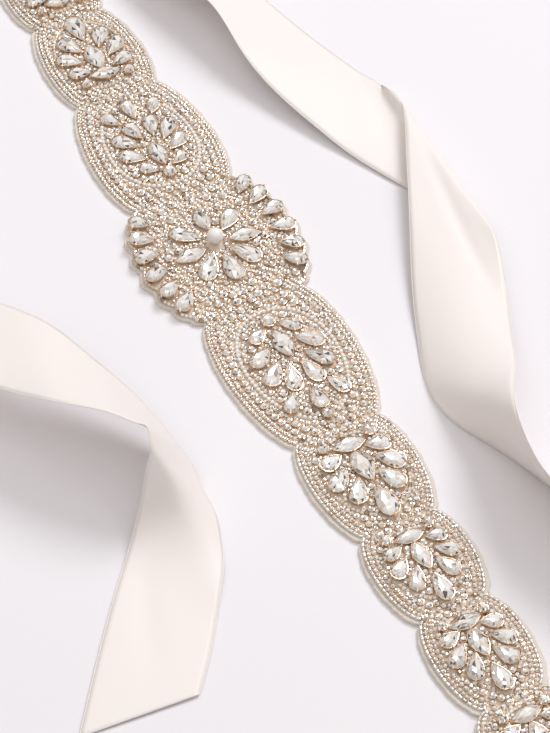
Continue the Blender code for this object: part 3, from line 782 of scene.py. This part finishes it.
def plan_motif(motif):
    """Every small bead of a motif: kind, x, y, heading, length and width."""
    room = Room(motif)
    for row in placed_stones(motif):
        room.take_stone(row)
    if motif.kind == "medallion":
        room.take(centre_of(motif) - PEARL_OFF, 0.0, PEARL_RADIUS)
    beads = []
    taken = 0
    for inset, bead, length, width, pitch, closed in ROWS[motif.kind]:
        for path in inset_paths(motif, inset, closed):
            for (x, y), heading in zip(*resampled(path, pitch, closed)):
                ends = min(x - motif.start, motif.end - x)
                clear = room.free[room.cell(x, y)]
                rim_row = inset < 1.0 and ends > 0.2
                if rim_row or clear > width / 2 * ROW_PACKING:
                    beads.append((bead, x, y, heading, length, width))
        for bead_row in beads[taken:]:
            room.take(bead_row[1], bead_row[2], bead_row[5] / 2)
        taken = len(beads)
    for bead, length, width, most, inset in FILLING[motif.kind]:
        size = max(width, length * 0.7)
        need = size / 2 * PACKING
        cells = np.argwhere((room.rim > inset) & (room.free > need))
        rng.shuffle(cells)
        left = most
        for i, j in cells:
            if left == 0:
                break
            if room.free[i, j] <= need:
                continue
            x, y = room.xx[i, j], room.yy[i, j]
            heading = math.atan2(y, x - centre_of(motif)) + (rng.random() - 0.5) * FILL_TURN
            beads.append((bead, x, y, heading, length, width))
            room.take(x, y, size / 2)
            left -= 1
    return beads


def sew_beads(pile, motif, beads):
    """Set the planned beads on the bed."""
    forms = {"pearl": ball_form(), "seed": seed_form(0.80), "tube": seed_form(0.96)}
    for bead in ("pearl", "seed", "tube", "chaton"):
        rows = np.array([b[1:] for b in beads if b[0] == bead])
        if not len(rows):
            continue
        x, y, heading, length, width = rows.T
        wobble = 1 + BEAD_WOBBLE * (rng.random(len(rows)) - 0.5)
        scales = np.stack([length, width, width], 1) * wobble[:, None]
        z = bed_height(motif, x, y) - BEAD_SINK * width
        tilts = (rng.random((len(rows), 2)) - 0.5) * BEAD_TILT
        if bead == "chaton":
            cup, crown = chaton_form()
            heading = rng.random(len(rows)) * math.pi
            points, faces = placed(cup, x, y, z, heading, scales, tilts)
            pile.add(points, faces, "cup", cup_tints(len(faces), 0.7, 0.45))
            points, faces = placed(crown, x, y, z, heading, scales, tilts)
            # The crown's facets get painted reflections: a tint drawn at random for each facet.
            pile.add(points, faces, "crystal", drawn_tints(FACET_REFLECTION_TINTS, len(faces)))
            continue
        form = forms[bead]
        points, faces = placed(form, x, y, z, heading, scales, tilts * 0.5)
        tint = np.repeat(drawn_tints(BEAD_TINTS[bead], len(rows)), len(form[1]), axis=0)
        pile.add(points, faces, "pearl" if bead == "pearl" else "seed", tint, bead != "seed")


def build_motif(motif, materials):
    """One beaded motif: bed, small beads, cut stones and the large pearl."""
    pile = Pile()
    side = side_points(motif, BED_COLUMNS)
    wide = BED_ROWS + 1
    share = np.sin(np.linspace(-1, 1, wide) * math.pi / 2)
    x = np.repeat(side[:, :1], wide, axis=1)
    y = np.maximum(side[:, 1:] - BED_INSET, 0.0) * share[None, :]
    z = bed_height(motif, x, y)
    top = np.stack([x, y, z], 2).reshape(-1, 3)
    low = top.copy()
    low[:, 2] = BACKING_THICK + 0.02 + lift(low[:, 0])
    a = (np.arange(BED_COLUMNS)[:, None] * wide + np.arange(BED_ROWS)).ravel()
    b = a + wide
    faces = np.stack([a, b, b + 1, a, b + 1, a + 1], 1).reshape(-1, 3)
    pile.add(top, faces, "net", NET_TINT, True)
    pile.add(low, faces[:, ::-1], "net", NET_TINT, True)
    sew_beads(pile, motif, plan_motif(motif))
    for row in placed_stones(motif):
        cut_stone(pile, row, (rng.random(2) - 0.5) * STONE_TILT)
    if motif.kind == "medallion":
        centre = centre_of(motif) - PEARL_OFF
        polar = np.radians(np.linspace(25, 172, 12))
        profile = [(PEARL_RADIUS * math.sin(p), PEARL_RADIUS * (1 - math.cos(p))) for p in polar]
        points, faces = turned(profile, PEARL_SIDES)
        points = points + (centre, 0.0, MOTIF_BASE + PEARL_FOOT)
        pile.add(points, faces, "pearl", PEARL_TINT, True)
    item = pile.build(motif.name + "_beadwork", materials)
    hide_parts(motif.name)
    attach(item, "root")


# Cloth.


def spline(knots, values, places):
    """Natural cubic spline through rows of values, read at the places."""
    count = len(knots)
    gap = np.diff(knots)
    system = np.eye(count)
    bend = np.zeros((count, values.shape[1]))
    for k in range(1, count - 1):
        system[k, k - 1] = gap[k - 1]
        system[k, k] = 2 * (gap[k - 1] + gap[k])
        system[k, k + 1] = gap[k]
        ahead = (values[k + 1] - values[k]) / gap[k]
        behind = (values[k] - values[k - 1]) / gap[k - 1]
        bend[k] = 6 * (ahead - behind)
    curve = np.linalg.solve(system, bend)
    k = np.clip(np.searchsorted(knots, places, side="right") - 1, 0, count - 2)
    span = gap[k][:, None]
    a = (knots[k + 1] - places)[:, None] / span
    b = (places - knots[k])[:, None] / span
    flat = a * values[k] + b * values[k + 1]
    return flat + ((a ** 3 - a) * curve[k] + (b ** 3 - b) * curve[k + 1]) * span ** 2 / 6


def tie_points(table, places, share):
    """Points of a tie's middle face at a share of its width, right to left."""
    rows = np.array(table)
    read = spline(rows[:, 0], rows[:, 1:], places)
    read[:, 2] = np.maximum(read[:, 2], REST_HEIGHT)
    read[:, 5] = np.maximum(read[:, 5], REST_HEIGHT)
    left, right, bow = read[:, 0:3], read[:, 3:6], read[:, 6:7]
    rise = 4 * share * (1 - share) * np.maximum(bow, 0.0) * np.array([0.0, 0.0, 1.0])
    return right + (left - right) * share + rise


def crease_depth(tie, places, share):
    """Depth of the soft creases at a share of the width."""
    depth = np.zeros(len(places))
    for name, along, across, length, width, deep, slant in CREASES:
        if name != tie:
            continue
        du = places - along
        dv = (share - across) * RIBBON_WIDTH_M / MM
        turn = math.radians(slant)
        run = du * math.cos(turn) + dv * math.sin(turn)
        side = -du * math.sin(turn) + dv * math.cos(turn)
        depth -= deep * np.exp(-(side / width * 2) ** 2 - (run / length * 2) ** 2)
    return depth


def tie_grid(tie):
    """Middle points, normals and places of a tie, a row a section."""
    table = TIES[tie]
    end = table[-1][0]
    count = int((end - TIE_START) / RIBBON_STEP) + 1
    places = np.linspace(TIE_START, end, count)
    shares = np.linspace(0, 1, RIBBON_COLUMNS + 1)
    grid = np.stack([tie_points(table, places, s) for s in shares], 1)
    ahead, beside = np.gradient(grid, axis=0), np.gradient(grid, axis=1)
    normal = np.cross(ahead, beside)
    normal /= np.linalg.norm(normal, axis=2)[:, :, None]
    depth = np.stack([crease_depth(tie, places, s) for s in shares], 1)
    grid = grid + normal * depth[:, :, None]
    settle_selvedges(grid, normal)
    return grid, normal, places, shares


def settle_selvedges(grid, normal):
    """Let a selvedge that stands on the surface touch it, so no light passes under."""
    for column in (0, -1):
        height = grid[:, column, 2]
        low = np.clip(SETTLE_BELOW - height, 0.0, 1.0)
        steep = np.clip((SETTLE_NORMAL - np.abs(normal[:, column, 2])) / 0.3, 0.0, 1.0)
        grid[:, column, 2] = height + low * steep * (SETTLE_HEIGHT - height)


def cloth_object(name, mesh, material):
    """Link a cloth piece and give it its body and slot."""
    mesh.materials.append(material)
    item = linked(name, mesh)
    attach(item, "root")
    return item


def build_tie(tie, satin, selvedge):
    """One satin ribbon and the picots along its two selvedges."""
    grid, normal, places, shares = tie_grid(tie)
    count, wide = grid.shape[:2]
    thin = np.full(wide, RIBBON_SKIN / 2)
    thin[[0, -1]] *= 0.5
    upper = grid + normal * thin[None, :, None]
    lower = grid - normal * thin[None, :, None]
    loops = np.concatenate([upper, lower[:, ::-1]], 1)
    size = 2 * wide
    faces = tube_quads(count, size)
    for first in (0, size * (count - 1)):
        for side in range(wide - 1):
            a, b = first + side, first + size - 1 - side
            faces.append((a, a + 1, b - 1, b) if first == 0 else (b, b - 1, a + 1, a))
    mesh = filled_mesh("ribbon_tie_" + tie, loops.reshape(-1, 3), faces)
    mesh.shade_smooth()
    across = np.concatenate([shares, shares[::-1]]) * RIBBON_WIDTH_M
    uv = np.stack(np.broadcast_arrays(across[None, :], places[:, None] * MM), 2).reshape(-1, 2)
    corners = np.zeros(len(mesh.loops), np.int32)
    mesh.loops.foreach_get("vertex_index", corners)
    layer = mesh.uv_layers.new(name="cloth")
    layer.data.foreach_set("uv", uv[corners].astype(np.float32).ravel())
    ribbon = cloth_object("ribbon_tie_" + tie, mesh, satin)
    edge = picots(tie, grid, normal, places, selvedge)
    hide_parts(*("tie_%s_%s" % (tie, part) for part in TIE_NODES[tie]))


def picots(tie, grid, normal, places, material):
    """The woven edge: a fine cord with a small loop at every pitch."""
    sides = PICOT_SIDES
    count = int((places[-1] - places[0]) / PICOT_PITCH) * len(PICOT_SWELL)
    marks = np.linspace(places[0], places[-1], count + 1)
    swell = np.array(PICOT_SWELL)[np.arange(count + 1) % len(PICOT_SWELL)]
    points, faces = [], []
    shift = 0
    for column in (0, -1):
        line = read_rows(marks, places, grid[:, column])
        up = read_rows(marks, places, normal[:, column])
        away = grid[:, column] - grid[:, column + (1 if column == 0 else -1)]
        out = read_rows(marks, places, away)
        out /= np.linalg.norm(out, axis=1)[:, None]
        tube = []
        for s in range(sides):
            angle = 2 * math.pi * s / sides
            reach = PICOT_RADIUS * swell[:, None]
            tube.append(line + out * reach * (math.cos(angle) * 0.9 + PICOT_OUT)
                        + up * reach * math.sin(angle) * 0.8)
        tube = np.stack(tube, 1).reshape(-1, 3)
        part = ring_faces(count + 1, sides)
        caps = np.concatenate([fan(0, sides, False), fan(count * sides, sides)])
        part = np.concatenate([part, caps])
        if column == -1:
            part = part[:, ::-1]
        points.append(tube)
        faces.append(part + shift)
        shift += len(tube)
    mesh = filled_mesh("ribbon_picots_" + tie, np.concatenate(points), np.concatenate(faces))
    mesh.shade_smooth()
    return cloth_object("ribbon_picots_" + tie, mesh, material)


def build_backing(material):
    """The scalloped backing cloth, its cut edge a little uneven and rounded."""
    end = MOTIFS[-1].end
    sides = [side_points(m, max(24, int((m.end - m.start) / 1.2)))[:-1] for m in MOTIFS]
    side = np.concatenate(sides + [np.array([[end, 0.0]])])
    x = side[:, 0] * (end + BACKING_MARGIN) / end
    wave = 0.22 * np.sin(x * 0.83) * np.sin(x * 0.31 + 1.0) + 0.12 * np.sin(x * 2.3)
    sections = ((0.35, 0.0), (0.0, 0.45), (0.0, 1.15), (0.35, BACKING_THICK))
    points = []
    for k, px in enumerate(x):
        wide = max(side[k, 1] + BACKING_MARGIN + wave[k], 0.9)
        for direction in (-1, 1):
            rows = sections if direction < 0 else sections[::-1]
            for inset, height in rows:
                reach = max(wide - inset, 0.45)
                points.append((px, direction * reach, height + float(lift(px))))
    size = 2 * len(sections)
    last = size * (len(x) - 1)
    faces = tube_quads(len(x), size, True)
    faces.append(tuple(range(size)))
    faces.append(tuple(range(last, last + size))[::-1])
    mesh = filled_mesh("backing_cloth", points, faces)
    item = cloth_object("backing_cloth", mesh, material)
    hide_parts("backing")
    wide = 2 * (side[:, 1].max() + BACKING_MARGIN + 0.3) * MM


# Materials.

# What PAINTS stand for: a name, the darker shade of its noise, the noise's scale,
# and the shader's settings.
BEAD_FINISHES = (
    ("champagne_net", (0.72, 0.66, 0.6), 2600.0, {"Roughness": 0.75, "Sheen_Weight": 0.3}),
    # The crystal's base colour is the tint attribute: painted reflections, a shade for each facet.
    ("foiled_crystal_painted_reflections", (0.94, 0.94, 0.95), 900.0,
     {"Roughness": 0.06, "Metallic": 0.30, "IOR": 1.6, "Coat_Weight": 1.0,
      "Coat_Roughness": 0.02}),
    ("rose_gold_cup", (0.82, 0.8, 0.78), 700.0, {"Roughness": 0.24, "Metallic": 1.0}),
    ("silver_lined_seed", (0.84, 0.82, 0.8), 500.0,
     {"Roughness": 0.11, "Metallic": 0.45, "IOR": 1.5, "Coat_Weight": 0.8,
      "Coat_Roughness": 0.06}),
    ("ivory_pearl", (0.95, 0.93, 0.92), 160.0,
     {"Roughness": 0.26, "IOR": 1.55, "Coat_Weight": 0.7, "Coat_Roughness": 0.12,
      "Sheen_Weight": 0.2}),
)

# Strength and distance in metres of the bumps on cloth and on satin.
FELT_BUMP = (0.5, 0.0002)
SATIN_BUMP = (0.06, 0.0001)

# The scale of the satin's floats across and along the ribbon, and their shade.
SATIN_FLOATS = (4200.0, 420.0, 1.0)
SATIN_SHADE = (0.965, 0.96, 0.955)


def set_inputs(node, **inputs):
    """Set or link a node's inputs, each named with _ for a space."""
    for key, value in inputs.items():
        socket = node.inputs[key.replace("_", " ")]
        if isinstance(value, bpy.types.NodeSocket):
            node.id_data.links.new(value, socket)
        else:
            socket.default_value = value


def new_node(tree, kind, **inputs):
    """A new shader node with its inputs set or linked."""
    node = tree.nodes.new("ShaderNode" + kind)
    set_inputs(node, **inputs)
    return node


def principled(name, **sockets):
    """A node material and its parts."""
    material = bpy.data.materials.new(name)
    material.use_nodes = True
    tree = material.node_tree
    shader = tree.nodes["Principled BSDF"]
    set_inputs(shader, **sockets)
    return material, tree, shader


def ramped(tree, source, low, high):
    """A ramp between two shades."""
    ramp = new_node(tree, "ValToRGB", Fac=source)
    first, last = ramp.color_ramp.elements
    first.color = (*low, 1.0)
    last.color = (*high, 1.0)
    return ramp


def shaded(tree, vector, scale, detail, low, high):
    """A noise, and the colour it picks between two shades."""
    noise = new_node(tree, "TexNoise", Scale=scale, Detail=detail, Vector=vector)
    return noise, ramped(tree, noise.outputs["Fac"], low, high).outputs["Color"]


def tinted(tree, shader, low, high, scale):
    """Base colour from the tint attribute, varied by a fine noise; on crystal faces the tint is a
    painted reflection.
    """
    tint = new_node(tree, "VertexColor")
    tint.layer_name = "tint"
    place = new_node(tree, "TexCoord")
    noise, shade = shaded(tree, place.outputs["Object"], scale, 2.0, low, high)
    mix = new_node(tree, "Mix")
    mix.data_type = "RGBA"
    mix.blend_type = "MULTIPLY"
    mix.inputs[0].default_value = 1.0
    # Inputs 6 and 7 and output 2 of the mix are its colours.
    tree.links.new(tint.outputs["Color"], mix.inputs[6])
    tree.links.new(shade, mix.inputs[7])
    set_inputs(shader, Base_Color=mix.outputs[2])
    return noise


def bumped(tree, shader, source, strength, distance):
    """A bump from a texture's output."""
    bump = new_node(tree, "Bump", Strength=strength, Distance=distance, Height=source)
    set_inputs(shader, Normal=bump.outputs["Normal"])


def bead_materials():
    """One material for each of PAINTS, in their order."""
    made = []
    for name, low, scale, sockets in BEAD_FINISHES:
        material, tree, shader = principled(name, **sockets)
        noise = tinted(tree, shader, low, (1.0, 1.0, 1.0), scale)
        if name == "champagne_net":
            bumped(tree, shader, noise.outputs["Fac"], *FELT_BUMP)
        made.append(material)
    return made


def satin_material(name, colour):
    """Double-faced satin: long floats along the ribbon, a soft broad sheen."""
    material, tree, shader = principled(name, Roughness=0.44, Sheen_Weight=0.35,
                                        Sheen_Roughness=0.35, Anisotropic=0.35,
                                        Specular_IOR_Level=0.28)
    place = new_node(tree, "UVMap")
    place.uv_map = "cloth"
    stretch = new_node(tree, "Mapping", Scale=SATIN_FLOATS, Vector=place.outputs["UV"])
    low = [c * shade for c, shade in zip(colour, SATIN_SHADE)]
    floats, shade = shaded(tree, stretch.outputs["Vector"], 1.0, 2.0, low, colour)
    set_inputs(shader, Base_Color=shade)
    bumped(tree, shader, floats.outputs["Fac"], *SATIN_BUMP)
    return material


def grained(name, scale, detail, low, high, **sockets):
    """A plain material with a fine grain between two shades."""
    material, tree, shader = principled(name, **sockets)
    place = new_node(tree, "TexCoord")
    noise, shade = shaded(tree, place.outputs["Object"], scale, detail, low, high)
    set_inputs(shader, Base_Color=shade)
    return material, tree, shader, noise


def backing_material():
    """Cream non-woven backing with a fine felted grain."""
    material, tree, shader, noise = grained(
        "cream_backing", 1500.0, 4.0, BACKING_LOW, BACKING_HIGH,
        Roughness=0.85, Sheen_Weight=0.4)
    bumped(tree, shader, noise.outputs["Fac"], *FELT_BUMP)
    return material


def floor_material():
    """White surface, nearly plain."""
    return grained("white_surface", 700.0, 3.0, FLOOR_LOW, FLOOR_HIGH, Roughness=0.9)[0]


# Surface, light and camera.

CAMERA_ELEVATION = 52.0
CAMERA_AZIMUTH = 62.91
CAMERA_DISTANCE_M = 1.0027
CAMERA_TARGET_M = (0.06049, -0.00612, 0.0)
CAMERA_LENS = 129.05
FLOOR_SIZE_M = 6.0
FLOOR_HEIGHT = -0.05

# Soft lamps: azimuth and elevation seen from the sash, distance and size in metres,
# watts.
LAMPS = (
    # name, azimuth, elevation, distance, size, watts, red, green, blue
    ("key", 118.0, 50.0, 2.40, 1.00, 28.5, 0.95, 0.96, 1.0),
    ("fill", -60.0, 74.0, 2.20, 1.80, 5.0, 0.97, 0.98, 1.0),
    ("glint", 40.0, 38.0, 1.80, 0.25, 1.5, 1.0, 1.0, 1.0),
)
SKY_STRENGTH = 0.745
SKY_FROM = 0.42
SKY_TO = 0.75


def build_surface():
    """The pale surface the sash lies on."""
    half = FLOOR_SIZE_M / 2 / MM
    corners = [(x * half, y * half, FLOOR_HEIGHT) for x, y in ((-1, -1), (1, -1), (1, 1), (-1, 1))]
    mesh = filled_mesh("surface", corners, [(0, 1, 2, 3)])
    mesh.materials.append(floor_material())
    item = linked("surface", mesh)


def build_lights():
    """Soft studio lamps and a pale sky."""
    for name, azimuth, elevation, distance, size, watts, red, green, blue in LAMPS:
        lamp = bpy.data.lights.new(name, "AREA")
        lamp.shape = "DISK"
        lamp.size = size
        lamp.energy = watts
        lamp.color = (red, green, blue)
        item = linked(name, lamp)
        a, e = math.radians(azimuth), math.radians(elevation)
        away = Vector((math.cos(a) * math.cos(e), math.sin(a) * math.cos(e), math.sin(e)))
        item.location = Vector(CAMERA_TARGET_M) + away * distance
        item.rotation_mode = "QUATERNION"
        item.rotation_quaternion = away.to_track_quat("Z", "Y")
    world = bpy.data.worlds.new("studio")
    world.use_nodes = True
    tree = world.node_tree
    sky = tree.nodes["Background"]
    place = new_node(tree, "TexCoord")
    split = new_node(tree, "SeparateXYZ", Vector=place.outputs["Generated"])
    ramp = ramped(tree, split.outputs["Z"], SKY_LOW, SKY_HIGH)
    ramp.color_ramp.elements[0].position = SKY_FROM
    ramp.color_ramp.elements[1].position = SKY_TO
    set_inputs(sky, Color=ramp.outputs["Color"], Strength=SKY_STRENGTH)
    bpy.context.scene.world = world


def build_camera():
    """The camera, at the photograph's angle."""
    data = bpy.data.cameras.new("camera")
    data.sensor_fit = "AUTO"
    data.sensor_width = 36.0
    data.lens = CAMERA_LENS
    data.clip_start = 0.05
    data.clip_end = 20.0
    item = linked("camera", data)
    a, e = math.radians(CAMERA_AZIMUTH), math.radians(CAMERA_ELEVATION)
    back = Vector((math.sin(a) * math.cos(e), -math.cos(a) * math.cos(e), math.sin(e)))
    right = Vector((math.cos(a), math.sin(a), 0.0))
    up = back.cross(right)
    turn = Matrix((right, up, back)).transposed().to_4x4()
    place = Vector(CAMERA_TARGET_M) + back * CAMERA_DISTANCE_M
    item.matrix_world = Matrix.Translation(place) @ turn
    bpy.context.scene.camera = item


def main():
    """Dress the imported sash."""
    bpy.context.scene.view_settings.view_transform = "Standard"
    build_surface()
    build_lights()
    build_camera()
    build_backing(backing_material())
    materials = bead_materials()
    for motif in MOTIFS:
        build_motif(motif, materials)
    satin = satin_material("ivory_satin", (0.935, 0.868, 0.835))
    selvedge = satin_material("ivory_selvedge", (0.95, 0.90, 0.86))
    build_tie("a", satin, selvedge)
    build_tie("b", satin, selvedge)


main()
